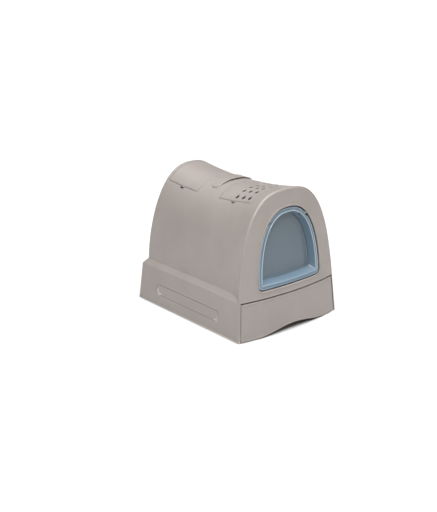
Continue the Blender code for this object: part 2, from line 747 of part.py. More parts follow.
# (depth behind the face, level: 0 lower edge, 1 middle, 2 top, 3 underside of the flange)
PANEL_PROFILE = ((0, 0), (0, 1), (0, 2), (0.022, 2), (0.022, 3), (PANEL_SKIN, 3), (PANEL_SKIN, 0))


def drawer_front(mat):
    """Bowed front with a hand grip below and a flange over the tray's rim."""
    columns = 26
    rings = []
    for k in range(columns + 1):
        t = 2 * k / columns - 1
        ring = []
        for sunk, level in PANEL_PROFILE:
            top = PANEL_TOP if level == 2 else PANEL_TOP - 0.0025
            bottom = grip_line(t * 0.19)
            z = bottom if level == 0 else 0.060 if level == 1 else top
            half = WIDTH / 2 - DRAFT * z - WALL - SIDE_NIB - PANEL_SIDE_GAP
            x = t * half
            y = front_y(x, z) + sunk
            if sunk > 0.01:
                y = DRAWER_FRONT + 0.0075
                x = t * (DRAWER_HALF - 0.012)
            ring.append((x, y, z))
        rings.append(ring)
    panel = add_object("drawer_front", loft(rings), mat, axis=(0, 0, DRAWER_FLOOR))
    for index, x in enumerate(PEG_PLACES, 1):
        hole = rod((x, PEG_Y, DRAWER_TOP), (0, 0, 1), 0.020, 0.0020, 12)
        carve(panel, cutter("panel_peg_hole_%d" % index, hole))
    return panel


def panel_peg(index, x, mat):
    """Snap peg through the panel's flange and the tray's rim."""
    profile = [(0, 0.0010), (0.0022, 0.0024), (0.0028, 0.0016), (0.0098, 0.0016),
               (0.0098, 0.0040), (0.0110, 0.0034)]
    foot = PANEL_TOP + GAP - 0.0098
    peg = turned(profile, (x, PEG_Y, foot), (0, 0, 1), 14)
    return add_object("panel_peg_%d" % index, peg, mat, axis=(0, 0, DRAWER_FLOOR), smooth=True)


# ---- Floor pan ------------------------------------------------------------------------
def floor_pan(mat):
    """Floor with a low wall at the sides and back, and two runners for the tray."""
    half, back = WIDTH / 2 - WALL - 0.0008, DEPTH / 2 - WALL - 0.0008
    lean = DRAFT * PAN_WALL
    rings = []
    for shrink, z in ((0, 0.0), (0, 0.001), (lean, PAN_WALL), (lean + 0.002, PAN_WALL),
                      (0.0045, PAN_SKIN)):
        rings.append([(-half + shrink, -0.25, z), (half - shrink, -0.25, z),
                      (half - shrink, back - shrink, z), (-half + shrink, back - shrink, z)])
    for ring in rings[3:]:
        ring[0] = (ring[0][0], -0.24, ring[0][2])
        ring[1] = (ring[1][0], -0.24, ring[1][2])
    pan = add_object("floor_pan", loft(rings), mat)
    carve(pan, cutter("pan_front_cut", box(-0.25, 0.25, -0.30, PAN_FRONT, -0.01, 0.05)))
    for side in (-1, 1):
        x0, x1 = sorted((side * (RUNNER_X - 0.004), side * (RUNNER_X + 0.004)))
        rail = box(x0, x1, PAN_FRONT + 0.006, 0.225, PAN_SKIN - 0.001, DRAWER_FLOOR - GAP)
        weld(pan, cutter("pan_runner_" + ("right" if side > 0 else "left"), rail))
    for index, (x, y) in enumerate(screw_places(), 1):
        side = math.copysign(1, x)
        x0, x1 = sorted((x - side * 0.0050, x + side * 0.0095))
        notch = box(x0, x1, y - 0.0050, y + 0.0050, PAN_SKIN, 0.05)
        profile = [(-0.01, 0.0034), (0.0016, 0.0034), (0.0016, 0.0018), (0.01, 0.0018)]
        hole = turned(profile, (x, y, 0), (0, 0, 1), 12)
        carve(pan, cutter("pan_notch_%d" % index, notch), cutter("pan_hole_%d" % index, hole))
    return pan


def pan_screw(index, x, y, mat):
    profile = [(0.0004, 0.0028), (0.0013, 0.0030), (0.0013, 0.0014), (0.0160, 0.0014),
               (0.0170, 0.0006)]
    screw = turned(profile, (x, y, 0), (0, 0, 1), 12)
    return add_object("pan_screw_%d" % index, screw, mat, smooth=True)


# ---- Assembly -------------------------------------------------------------------------
def build():
    for obj in list(bpy.data.objects):
        bpy.data.objects.remove(obj, do_unlink=True)
    taupe = material("taupe_plastic", (0.34, 0.30, 0.27), 0.48)
    inner = material("grey_plastic", (0.22, 0.20, 0.19), 0.55)
    blue = material("blue_translucent_plastic", (0.16, 0.25, 0.34), 0.18, alpha=0.75)
    carbon = material("carbon_foam", (0.02, 0.02, 0.02), 0.95)
    steel = material("zinc_steel", (0.60, 0.60, 0.58), 0.35, metallic=1.0)
    card = material("card", (0.42, 0.30, 0.18), 0.85)
    film = material("bag_film", (0.05, 0.20, 0.08), 0.40)
    nylon = material("nylon", (0.75, 0.74, 0.70), 0.40)

    build_hood(taupe)
    hatch_lid("bag_hatch", BAG_HATCH_Y, taupe)
    hatch_lid("vent_hatch", VENT_HATCH_Y, taupe, vents=True)
    hinge_pin("bag_hatch_pin", BAG_HATCH_Y, steel)
    hinge_pin("vent_hatch_pin", VENT_HATCH_Y, steel)
    bag_box(inner)
    bag_roll(film, card)
    scoop(inner)
    filter_cage(inner)
    filter_pad(carbon)
    carry_handle(taupe)
    for side in (-1, 1):
        handle_clip(side, nylon)
        door_pin(side, nylon)
    door_flap(blue)
    litter_tray(inner)
    drawer_front(taupe)
    for index, x in enumerate(PEG_PLACES, 1):
        panel_peg(index, x, nylon)
    floor_pan(inner)
    for index, (x, y) in enumerate(screw_places(), 1):
        pan_screw(index, x, y, steel)


build()
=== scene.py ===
import math

import bmesh
import bpy
from mathutils import Matrix, Vector


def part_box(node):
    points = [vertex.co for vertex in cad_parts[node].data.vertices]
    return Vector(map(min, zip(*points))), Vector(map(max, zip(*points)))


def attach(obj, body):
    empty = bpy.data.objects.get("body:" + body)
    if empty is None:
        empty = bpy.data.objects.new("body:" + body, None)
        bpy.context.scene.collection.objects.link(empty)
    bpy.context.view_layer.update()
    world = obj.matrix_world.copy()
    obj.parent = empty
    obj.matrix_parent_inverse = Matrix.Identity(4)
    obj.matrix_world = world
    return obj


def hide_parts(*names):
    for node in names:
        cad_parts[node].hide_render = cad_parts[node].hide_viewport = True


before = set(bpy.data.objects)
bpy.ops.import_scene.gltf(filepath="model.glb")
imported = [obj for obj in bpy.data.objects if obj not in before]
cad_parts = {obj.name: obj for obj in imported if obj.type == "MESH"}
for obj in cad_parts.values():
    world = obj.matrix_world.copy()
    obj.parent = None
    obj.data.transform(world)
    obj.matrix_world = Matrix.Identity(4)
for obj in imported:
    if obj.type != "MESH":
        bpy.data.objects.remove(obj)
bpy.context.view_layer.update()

# ---- The CAD's driving dimensions ------------------------------------------------------
WIDTH, DEPTH, DRAFT = 0.400, 0.4816, 0.081
SKIRT_HEIGHT, SHOULDER_TOP = 0.1174, 0.1343
HOOD_HALF, HOOD_REAR = 0.1758, 0.2176
CROWN_REAR, CROWN_MID, CROWN_FRONT = 0.4214, 0.4018, 0.4218
FLARE_SPAN = 0.15
BOW_FLOOR, BOW_LOSS = 0.022, 0.0175
BOW_FALL = 31.0             # about 1 / half width squared, for the bow of the face in a material
WALL, SIDE_NIB = 0.003, 0.001
SLIT = 0.0014               # slot round a hatch, slightly wider than the CAD's
DOOR_HALF, DOOR_FOOT, DOOR_CROWN, DOOR_CORNER = 0.1245, 0.138, 0.3675, 0.016
DOOR_WIDE, DOOR_TALL = 0.82, 0.965
DOOR_FLAT_X, DOOR_GAP, DOOR_SUNK, DOOR_RIM = 0.080, 0.0026, 0.0022, 0.0140
DOOR_DISH, DOOR_SLOPE, DOOR_SKIN = 0.0270, 0.0115, 0.0022
DOOR_AXIS_Z, DOOR_AXIS_SUNK = 0.335, 0.0095
HATCH_HALF, HATCH_LENGTH = 0.0970, 0.1365
BAG_HATCH_Y, VENT_HATCH_Y = 0.1370, -0.1010
LID_SKIN = 0.0025
HINGE_X, HINGE_DROP = 0.0990, 0.0044
HINGE_ROOM = 0.0071         # from the lid's nominal edge to the opening's edge, hinge side
NOTCH_X, NOTCH_Y = 0.0075, 0.0125
VENT_X, VENT_PITCH, VENT_RADIUS = -0.0837, 0.0262, 0.0063
CHANNEL, BEAD = 0.0016, 0.0046      # depth of the flap's rim channel and width of its inner lip
DOOR_SCALLOP, SCALLOP_X, SCALLOP_Z = 0.0063, 0.0770, 0.3316
HANDLE_Y, HANDLE_WIDTH, HANDLE_HALF = 0.0185, 0.0350, 0.0740
HANDLE_ARCH, HANDLE_SKIN, HANDLE_LEG_X, HANDLE_TRAVEL = 0.0034, 0.0030, 0.0560, 0.0220
DRAWER_HALF, DRAWER_FRONT, DRAWER_REAR = 0.1800, -0.2200, 0.2240
DRAWER_FLOOR, DRAWER_TOP, PANEL_TOP = 0.0062, 0.1106, 0.1135
PANEL_SKIN, PANEL_SIDE_GAP = 0.003, 0.0020
GRIP_RISE, GRIP_HALF = 0.0180, 0.146
PAN_SKIN = 0.003

# ---- What the looks add ----------------------------------------------------------------
SLOPE = 0.37                # how much lower an inner shell's creases lie, per inset
CREASE = 0.0030             # half height over which a crease is rounded
RIM_SKIRT, RIM_ARCH, RIM_REAR = 0.0014, 0.0080, 0.0012     # edge radii, front and back
RIM_STEPS = 8
EDGE_HIGHLIGHT_SHARE, EDGE_HIGHLIGHT_GAIN = 0.6, 2.2        # share and brightness of the painted highlight on convex edges
SKIRT_ROWS, ARCH_ROWS, STATIONS, FACE_COLUMNS = 10, 64, 72, 44
KNEE_ROWS = 7
LOWER_ROWS = SKIRT_ROWS + KNEE_ROWS + KNEE_ROWS - 1


# ---- Mesh helpers ----------------------------------------------------------------------
def mesh_object(name, verts, faces, mat=None):
    """A closed piece from points and faces, with doubles merged and normals outward."""
    bm = bmesh.new()
    made = [bm.verts.new(v) for v in verts]
    for face in faces:
        bm.faces.new([made[i] for i in face])
    return finished(name, bm, mat)


def finished(name, bm, mat=None):
    bmesh.ops.remove_doubles(bm, verts=bm.verts, dist=1e-6)
    bmesh.ops.dissolve_degenerate(bm, edges=bm.edges, dist=1e-7)
    rim = [e for e in bm.edges if e.is_boundary]
    if rim:
        bmesh.ops.edgeloop_fill(bm, edges=rim)
    bmesh.ops.recalc_face_normals(bm, faces=bm.faces)
    mesh = bpy.data.meshes.new(name)
    bm.to_mesh(mesh)
    bm.free()
    obj = bpy.data.objects.new(name, mesh)
    bpy.context.scene.collection.objects.link(obj)
    if mat:
        mesh.materials.append(mat)
    return obj


def grid_faces(rows, columns, start=0, flip=False):
    faces = []
    for r in range(rows - 1):
        for c in range(columns - 1):
            a = start + r * columns + c
            face = (a, a + 1, a + columns + 1, a + columns)
            faces.append(face[::-1] if flip else face)
    return faces


def plate(name, front, back, mat=None):
    """A closed solid between two grids of points of the same size."""
    rows, columns = len(front), len(front[0])
    size = rows * columns
    verts = [p for row in front for p in row] + [p for row in back for p in row]
    faces = grid_faces(rows, columns) + grid_faces(rows, columns, size, True)
    border = [c for c in range(columns - 1)]
    border += [r * columns + columns - 1 for r in range(rows - 1)]
    border += [(rows - 1) * columns + c for c in range(columns - 1, 0, -1)]
    border += [r * columns for r in range(rows - 1, 0, -1)]
    for a, b in zip(border, border[1:] + border[:1]):
        faces.append((b, a, size + a, size + b))
    return mesh_object(name, verts, faces, mat)


def loft(name, rings, mat=None, closed=False):
    """A solid through rings of equal count: capped, or closed on itself like a hoop."""
    count = len(rings[0])
    verts = [p for ring in rings for p in ring]
    faces = []
    pairs = len(rings) if closed else len(rings) - 1
    for r in range(pairs):
        low, high = r * count, (r + 1) % len(rings) * count
        for i in range(count):
            j = (i + 1) % count
            faces.append((low + i, low + j, high + j, high + i))
    if not closed:
        faces.append(tuple(range(count))[::-1])
        faces.append(tuple(range((len(rings) - 1) * count, len(rings) * count)))
    return mesh_object(name, verts, faces, mat)


def block(name, x0, x1, y0, y1, z0, z1):
    return loft(name, [[(x0, y0, z), (x1, y0, z), (x1, y1, z), (x0, y1, z)] for z in (z0, z1)])


def rod(name, center, direction, length, radius, steps=32):
    turn = Vector((0, 0, 1)).rotation_difference(Vector(direction)).to_matrix()
    rings = []
    for along in (-length / 2, length / 2):
        ring = []
        for k in range(steps):
            angle = 2 * math.pi * k / steps
            local = Vector((radius * math.cos(angle), radius * math.sin(angle), along))
            ring.append(Vector(center) + turn @ local)
        rings.append(ring)
    return loft(name, rings)


def shape(obj, *steps):
    """Cut and join solids with obj, one after the other, and keep the result as its mesh."""
    for operation, tool in steps:
        mod = obj.modifiers.new(tool.name, 'BOOLEAN')
        mod.operation = operation
        mod.solver = 'MANIFOLD'
        mod.object = tool
    bake(obj)
    for _, tool in steps:
        bpy.data.objects.remove(tool, do_unlink=True)
    return obj


def bake(obj):
    """Replace the mesh by what its modifiers make of it."""
    bpy.context.view_layer.update()
    graph = bpy.context.evaluated_depsgraph_get()
    mesh = bpy.data.meshes.new_from_object(obj.evaluated_get(graph))
    obj.modifiers.clear()
    obj.data = mesh
    return obj


def smooth(obj, angle=30.0):
    obj.data.shade_smooth()
    obj.data.set_sharp_from_angle(angle=math.radians(angle))
    return obj


def show(obj, mat, body, slot, *nodes):
    """Dress a piece, put it on its body and let it stand for CAD nodes."""
    obj.data.materials.clear()
    obj.data.materials.append(mat)
    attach(obj, body)
    if nodes:
        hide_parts(*nodes)
    return obj


def blend_value(a, b, share):
    return a + (b - a) * share


def rim_steps(low, high, border, middle):
    """Places from low to high, crowded over a raised border at the two ends."""
    near = [border * (k / 9) ** 1.4 for k in range(9)]
    inner = [blend_value(low + border, high - border, k / middle) for k in range(middle + 1)]
    return [low + d for d in near] + inner + [high - d for d in near[::-1]]


def smoothstep(value):
    value = min(1.0, max(0.0, value))
    return value * value * (3 - 2 * value)


def edge_drop(distance, radius):
    """How far a rounded edge has fallen away at this distance from it."""
    short = max(0.0, radius - max(0.0, distance))
    return radius - math.sqrt(radius * radius - short * short)


def edge_steps(low, high, radius, middle):
    """Places from low to high, crowded where the two ends are rounded."""
    near = [radius * (1 - math.cos(math.pi / 2 * k / 4)) for k in range(4)]
    inner = [blend_value(low + radius, high - radius, k / middle) for k in range(middle + 1)]
    return [low + d for d in near] + inner + [high - d for d in near[::-1]]


# ---- The hood's surface ----------------------------------------------------------------
def rounding(distance, reach):
    return max(0.0, reach - abs(distance)) ** 2 / (4 * reach) if reach > 1e-7 else 0.0


def front_y(x, z):
    half = WIDTH / 2 - DRAFT * min(z, SKIRT_HEIGHT)
    bow = BOW_FLOOR - BOW_LOSS * z
    return -DEPTH / 2 + DRAFT * z - bow * (1 - (x / half) ** 2)


def rear_y(z):
    """The back: the leaning skirt, the shoulder and the upright hood, creases rounded."""
    skirt = DEPTH / 2 - DRAFT * SKIRT_HEIGHT
    lean = (HOOD_REAR - skirt) / (SHOULDER_TOP - SKIRT_HEIGHT)
    if z <= SKIRT_HEIGHT:
        y = DEPTH / 2 - DRAFT * z
    elif z >= SHOULDER_TOP:
        y = HOOD_REAR
    else:
        y = skirt + lean * (z - SKIRT_HEIGHT)
    y += (lean + DRAFT) * rounding(z - SKIRT_HEIGHT, CREASE)
    return y - lean * rounding(z - SHOULDER_TOP, CREASE)


def vault(u):
    """Half width, springing, crown and curve powers at u, from 0 (rear) to 1 (front)."""
    flare = max(0.0, (u - 1 + FLARE_SPAN) / FLARE_SPAN) ** 2
    skirt_half = WIDTH / 2 - DRAFT * SKIRT_HEIGHT
    half = HOOD_HALF + (skirt_half - HOOD_HALF) * flare
    spring = SHOULDER_TOP + (SKIRT_HEIGHT - SHOULDER_TOP) * flare
    rear, middle, front = (1 - u) * (1 - 2 * u), 4 * u * (1 - u), u * (2 * u - 1)
    crown = CROWN_REAR * rear + CROWN_MID * middle + CROWN_FRONT * front
    return half, spring, crown, 0.820 - 0.126 * u, 1.200 - 0.135 * u


def profile_point(index, u, inset, floor):
    """One point (x, z) of the right half of a cross-section, counted from the floor up."""
    half, spring, crown, wide, tall = vault(u)
    half, crown = half - inset, crown - inset
    knee, foot = SKIRT_HEIGHT - SLOPE * inset, spring - SLOPE * inset
    floor_half = WIDTH / 2 - DRAFT * floor - inset
    knee_half = WIDTH / 2 - DRAFT * SKIRT_HEIGHT - inset
    reach = min(CREASE, 0.45 * (foot - knee))
    if index >= LOWER_ROWS:
        start = math.asin((reach / (crown - foot)) ** (1 / tall))
        angle = blend_value(start, math.pi / 2, (index - LOWER_ROWS) / ARCH_ROWS)
        x = half * max(0.0, math.cos(angle)) ** wide
        if index == LOWER_ROWS + ARCH_ROWS:
            x = 0.0
        return x, foot + (crown - foot) * math.sin(angle) ** tall
    if index < SKIRT_ROWS:
        z = blend_value(floor, knee - reach, index / SKIRT_ROWS)
    elif index < SKIRT_ROWS + KNEE_ROWS:
        z = knee + reach * ((index - SKIRT_ROWS) / 3 - 1)
    else:
        z = foot + reach * ((index - SKIRT_ROWS - KNEE_ROWS) / 3 - 1)
    skirt_lean = (knee_half - floor_half) / (knee - floor)
    shoulder_lean = (half - knee_half) / max(foot - knee, 1e-9)
    if z <= knee:
        x = floor_half + skirt_lean * (z - floor)
    else:
        x = min(knee_half, max(half, knee_half + shoulder_lean * (z - knee)))
    x += (shoulder_lean - skirt_lean) * rounding(z - knee, reach)
    return x - shoulder_lean * rounding(z - foot, reach), z


def station(x, z, u, inset):
    rear = rear_y(z + SLOPE * inset) - inset
    front = front_y(x, z) + inset
    return Vector((x, rear + (front - rear) * u, z))


def rim_radius(index, step):
    """The front edge's radius grows from the skirt's to the arch's; the rear edge is crisper."""
    if step < RIM_STEPS + STATIONS / 2:
        return RIM_REAR
    return blend_value(RIM_SKIRT, RIM_ARCH, smoothstep((index - LOWER_ROWS + 3) / 18))


def hood_point(index, step, inset, floor, rounded):
    """A point of the shell; steps run along the hood, with the two rounded rims first and last."""
    radius = rim_radius(index, step) if rounded else 0.0
    last = 2 * RIM_STEPS + STATIONS
    if step < RIM_STEPS or step > last - RIM_STEPS:
        turn = math.pi / 2 * (1 - min(step, last - step) / RIM_STEPS)
        extra = radius * (1 - math.cos(turn))
        depth = radius * (1 - math.sin(turn)) / DEPTH
        u = depth if step < RIM_STEPS else 1 - depth
    else:
        share = (step - RIM_STEPS) / STATIONS
        share = 1 - (1 - share) ** 1.35
        extra = 0.0
        front = rim_radius(index, last) if rounded else 0.0
        rear = rim_radius(index, 0) if rounded else 0.0
        u = blend_value(rear / DEPTH, 1 - front / DEPTH, share)
    x, z = profile_point(index, u, inset + extra, floor)
    return x, z, u


def hood_solid(name, inset, floor=0.0, rounded=True):
    """The closed solid inside the hood's surface, moved in by inset."""
    count = LOWER_ROWS + ARCH_ROWS + 1
    last = 2 * RIM_STEPS + STATIONS
    bm = bmesh.new()
    halves = []
    for step in range(last + 1):
        halves.append([hood_point(i, step, inset, floor, rounded) for i in range(count)])
    for side in (1, -1):
        add_grid(bm, [[station(side * x, z, u, inset) for x, z, u in row] for row in halves])
    for row in (halves[0], halves[-1]):
        cap = []
        for x, z, u in row:
            across = [x * (2 * k / FACE_COLUMNS - 1) for k in range(FACE_COLUMNS + 1)]
            cap.append([station(place, z, u, inset) for place in across])
        add_grid(bm, cap)
    return finished(name, bm)


def add_grid(bm, rows):
    made = [[bm.verts.new(p) for p in row] for row in rows]
    for low, high in zip(made, made[1:]):
        for a, b, c, d in zip(low, low[1:], high[1:], high):
            bm.faces.new((a, b, c, d))


def ridge_z(x, y, inset=0.0):
    """Height of the hood's top, or of a shell under it, at a point in plan."""
    z = CROWN_MID
    for _ in range(14):
        front, rear = front_y(x, z) + inset, HOOD_REAR - inset
        u = min(1.0, max(0.0, (rear - y) / (rear - front)))
        half, spring, crown, wide, tall = vault(u)
        foot = spring - SLOPE * inset
        cosine = min(1.0, abs(x) / (half - inset)) ** (1 / wide)
        z = foot + (crown - inset - foot) * math.sqrt(1 - cosine * cosine) ** tall
    return z


# ---- Door outline ----------------------------------------------------------------------
def door_outline(inset, steps=96):
    half, foot, crown = DOOR_HALF - inset, DOOR_FOOT + inset, DOOR_CROWN - inset
    radius = max(DOOR_CORNER - inset, 0.004)
    right = [((half - radius) * k / 12, foot) for k in range(1, 12)]
    for k in range(9):
        angle = math.radians(-90 + 86 * k / 8)
        right.append((half - radius + radius * math.cos(angle), foot + radius * (1 + math.sin(angle))))
    start = foot + radius
    for k in range(1, steps // 2):
        angle = math.pi * k / steps
        x = half * math.cos(angle) ** DOOR_WIDE
        right.append((x, start + (crown - start) * math.sin(angle) ** DOOR_TALL))
    left = [(-x, z) for x, z in right[::-1]]
    return [(0.0, foot)] + right + [(0.0, crown)] + left


def door_ring(inset, sunk, flat=0.0):
    """The outline at a depth behind the bowed face, or behind the dish's flat plane."""
    ring = []
    for x, z in door_outline(inset):
        y = blend_value(front_y(x, z), front_y(DOOR_FLAT_X, z), flat)
        ring.append((x, y + sunk, z))
    return ring


def door_axis():
    return Vector((0, front_y(0, DOOR_AXIS_Z) + DOOR_AXIS_SUNK, DOOR_AXIS_Z))


# ---- Hatch outlines --------------------------------------------------------------------
def hatch_ring(center_y, grow, depth=None, height=None, far=HINGE_ROOM, steps=28):
    """Loop round a hatch in plan, at a depth under the hood or at a fixed height."""
    x0, x1 = -HATCH_HALF - grow, HATCH_HALF + far
    y0, y1 = center_y - HATCH_LENGTH / 2 - grow, center_y + HATCH_LENGTH / 2 + grow
    corners = [(x0, y0), (x1, y0), (x1, y1), (x0, y1)]
    ring = []
    for (ax, ay), (bx, by) in zip(corners, corners[1:] + corners[:1]):
        for k in range(steps):
            x, y = blend_value(ax, bx, k / steps), blend_value(ay, by, k / steps)
            z = height if height is not None else ridge_z(x, y) - depth
            ring.append((x, y, z))
    return ring


def hinge_point(center_y, along):
    reach = HATCH_LENGTH / 2
    front, rear = (ridge_z(HINGE_X, center_y + end * reach) - HINGE_DROP for end in (-1, 1))
    z = front + (rear - front) * (along + 1) / 2
    return Vector((HINGE_X, center_y + along * reach, z))


def hinge_direction(center_y):
    return (hinge_point(center_y, 1) - hinge_point(center_y, -1)).normalized()


# ---- Materials -------------------------------------------------------------------------
class Nodes:
    """A material under construction: short calls for the nodes that every recipe uses."""

    def __init__(self, name, color, roughness, **sockets):
        self.material = bpy.data.materials.new(name)
        self.material.use_nodes = True
        self.tree = self.material.node_tree
        self.shader = self.tree.nodes["Principled BSDF"]
        self.shader.inputs["Base Color"].default_value = (*color, 1.0)
        self.shader.inputs["Roughness"].default_value = roughness
        for key, value in sockets.items():
            self.shader.inputs[key.replace("_", " ")].default_value = value
        self.color, self.roughness = color, roughness
        self.place = self.tree.nodes.new("ShaderNodeTexCoord").outputs["Object"]

    def node(self, kind, inputs=None, **settings):
        made = self.tree.nodes.new(kind)
        for key, value in settings.items():
            setattr(made, key, value)
        for key, value in (inputs or {}).items():
            if isinstance(value, bpy.types.NodeSocket):
                self.tree.links.new(value, made.inputs[key])
            else:
                made.inputs[key].default_value = value
        return made

    def noise(self, scale, detail=3.0, rough=0.5, place=None):
        inputs = {"Vector": place or self.place, "Scale": scale, "Detail": detail, "Roughness": rough}
        return self.node("ShaderNodeTexNoise", inputs).outputs["Fac"]

    def spread(self, value, low, high):
        """Remap a noise, which lies mostly between 0.3 and 0.7, to low..high."""
        inputs = {"Value": value, "From Min": 0.3, "From Max": 0.7, "To Min": low, "To Max": high}
        return self.node("ShaderNodeMapRange", inputs).outputs["Result"]

    def math(self, operation, a, b):
        return self.node("ShaderNodeMath", {0: a, 1: b}, operation=operation).outputs["Value"]

    def ramp(self, value, low, high):
        """Smooth step from 0 at low to 1 at high."""
        inputs = {"Value": value, "From Min": low, "From Max": high, "To Min": 0.0, "To Max": 1.0}
        return self.node("ShaderNodeMapRange", inputs, interpolation_type='SMOOTHSTEP').outputs["Result"]

    def height(self):
        return self.node("ShaderNodeSeparateXYZ", {"Vector": self.place}).outputs["Z"]

    def behind_front(self):
        """How far a point lies behind the hood's bowed, leaning face."""
        axes = self.node("ShaderNodeSeparateXYZ", {"Vector": self.place}).outputs
        square = self.math('POWER', self.math('ABSOLUTE', axes["X"], 0.0), 2.0)
        wide = self.math('MULTIPLY', square, BOW_FALL)
        bow = self.math('SUBTRACT', BOW_FLOOR, self.math('MULTIPLY', axes["Z"], BOW_LOSS))
        curve = self.math('MULTIPLY', bow, self.math('SUBTRACT', 1.0, wide))
        lean = self.math('SUBTRACT', self.math('ADD', axes["Y"], DEPTH / 2),
                         self.math('MULTIPLY', axes["Z"], DRAFT))
        return self.math('ADD', lean, curve)

    def tint(self, factor):
        """Base colour between a darker and a lighter shade of itself."""
        dark = [c * 0.88 for c in self.color]
        light = [min(1.0, c * 1.10) for c in self.color]
        self.mix(factor, dark, light)

    def mixed(self, factor, first, second):
        """A colour between two colours, each a tuple or a socket."""
        made = self.tree.nodes.new("ShaderNodeMix")
        made.data_type = 'RGBA'
        self.tree.links.new(factor, made.inputs[0])
        for socket, color in ((made.inputs[6], first), (made.inputs[7], second)):
            if isinstance(color, bpy.types.NodeSocket):
                self.tree.links.new(color, socket)
            else:
                socket.default_value = (*color, 1.0)
        return made.outputs[2]

    def mix(self, factor, first, second):
        self.tree.links.new(self.mixed(factor, first, second), self.shader.inputs["Base Color"])

    def rough(self, value):
        self.tree.links.new(value, self.shader.inputs["Roughness"])

    def bump(self, height, distance, strength=1.0, below=None):
        inputs = {"Height": height, "Distance": distance, "Strength": strength}
        if below:
            inputs["Normal"] = below
        made = self.node("ShaderNodeBump", inputs)
        self.tree.links.new(made.outputs["Normal"], self.shader.inputs["Normal"])
        return made.outputs["Normal"]


def moulded_plastic(name, color, roughness, grain=0.00004, **sockets):
    """Satin plastic: fine grain, faint flow marks, uneven gloss and a painted highlight on convex edges.
    """
    made = Nodes(name, color, roughness, **sockets)
    dark, light = [c * 0.93 for c in color], [min(1.0, c * 1.04) for c in color]
    body = made.mixed(made.spread(made.noise(9.0, 4.0, 0.6), 0.0, 1.0), dark, light)
    edges = made.node("ShaderNodeNewGeometry", {}).outputs["Pointiness"]
    # painted highlight: convex edges, found by pointiness, get a much lighter copy of the colour
    painted_edge_highlight = made.math('MULTIPLY', made.ramp(edges, 0.52, 0.60), EDGE_HIGHLIGHT_SHARE)
    made.mix(painted_edge_highlight, body, [min(1.0, c * EDGE_HIGHLIGHT_GAIN) for c in color])
    made.rough(made.spread(made.noise(38.0, 4.0, 0.6), roughness - 0.05, roughness + 0.05))
    waves = made.bump(made.noise(14.0, 2.0, 0.4), 0.0006, 0.25)
    made.bump(made.noise(1500.0, 2.0, 0.55), grain, 0.6, waves)
    return made.material


def tinted_flap():
    """Polished smoky blue sheet, clearer in its flat middle, with a painted highlight along its raised
    lip and painted light on its lower, upward-facing shelf.
    """
    made = Nodes("blue_flap", (0.145, 0.195, 0.238), 0.16, IOR=1.49)
    made.shader.inputs["Specular IOR Level"].default_value = 0.6
    sunk = made.behind_front()
    middle = made.ramp(sunk, DOOR_DISH - 0.007, DOOR_DISH - 0.003)
    # painted highlight: the raised lip, which stands furthest forward, gets a much lighter blue
    lip = made.ramp(sunk, DOOR_SUNK + 0.0004, DOOR_SUNK - 0.0004)
    ring_with_lip_highlight = made.mixed(lip, (0.125, 0.185, 0.240), (0.300, 0.375, 0.430))
    # painted light: the lower ring, channel and shelf, which face up, are mixed towards a lighter blue
    painted_shelf_light = made.math('MULTIPLY', made.ramp(made.height(), DOOR_FOOT + 0.034, DOOR_FOOT + 0.012), 0.6)
    rim = made.mixed(painted_shelf_light, ring_with_lip_highlight, (0.185, 0.265, 0.345))
    made.tree.links.new(made.mixed(middle, rim, made.color), made.shader.inputs["Base Color"])
    clear = made.math('MULTIPLY', middle, 0.28)
    made.tree.links.new(made.math('ADD', clear, 0.14), made.shader.inputs["Transmission Weight"])
    made.rough(made.spread(made.noise(60.0, 3.0), 0.10, 0.18))
    made.bump(made.noise(45.0, 2.0), 0.0004, 0.15)
    return made.material


def carbon_foam():
    """Open-celled black foam: round pores between struts."""
    made = Nodes("carbon_foam", (0.022, 0.022, 0.024), 0.95)
    cells = made.node("ShaderNodeTexVoronoi", {"Vector": made.place, "Scale": 420.0})
    pores = made.spread(cells.outputs["Distance"], 0.0, 1.0)
    made.mix(pores, (0.006, 0.006, 0.007), (0.050, 0.050, 0.054))
    made.bump(cells.outputs["Distance"], 0.0012, 0.9)
    return made.material


def plated_steel():
    """Zinc plate: crystal-like patches under a brushed surface."""
    made = Nodes("zinc_plate", (0.62, 0.63, 0.62), 0.34, Metallic=1.0)
    patches = made.node("ShaderNodeTexVoronoi", {"Vector": made.place, "Scale": 600.0})
    made.tint(patches.outputs["Distance"])
    made.rough(made.spread(made.noise(900.0), 0.26, 0.42))
    made.bump(made.noise(2200.0), 0.00003, 0.5)
    return made.material


def rolled_film():
    """Layers of thin film: fine rings across the roll's ends and wrinkles along it."""
    made = Nodes("bag_film", (0.045, 0.20, 0.085), 0.36)
    made.tint(made.spread(made.noise(60.0, 4.0), 0.2, 0.8))
    made.rough(made.spread(made.noise(90.0), 0.28, 0.45))
    stretched = made.node("ShaderNodeMapping", {"Vector": made.place, "Scale": (0.25, 1.0, 1.0)})
    made.bump(made.noise(420.0, 4.0, place=stretched.outputs["Vector"]), 0.0006, 0.8)
    return made.material


def grey_card():
    """Pulp card with short fibres."""
    made = Nodes("card", (0.42, 0.30, 0.18), 0.88)
    fibres = made.noise(700.0, 5.0, 0.65)
    made.tint(made.spread(fibres, 0.1, 0.9))
    made.bump(fibres, 0.0002, 0.7)
    return made.material


TAUPE = moulded_plastic("taupe_plastic", (0.250, 0.223, 0.209), 0.34)
GREY = moulded_plastic("grey_plastic", (0.215, 0.198, 0.186), 0.52)
NYLON = moulded_plastic("nylon", (0.70, 0.69, 0.64), 0.38, 0.00002)
BLUE = tinted_flap()
FOAM = carbon_foam()
STEEL = plated_steel()
FILM = rolled_film()
CARD = grey_card()


# ---- Hood ------------------------------------------------------------------------------
def drawer_opening():
    rings = []
    for z in (-0.01, SKIRT_HEIGHT):
        half = WIDTH / 2 - DRAFT * z - WALL - SIDE_NIB
        rings.append([(-half, -0.30, z), (half, -0.30, z), (half, -0.19, z), (-half, -0.19, z)])
    return loft("drawer_opening", rings)


def door_opening():
    outline = door_outline(0)
    return loft("door_opening", [[(x, y, z) for x, z in outline] for y in (-0.30, -0.17)])


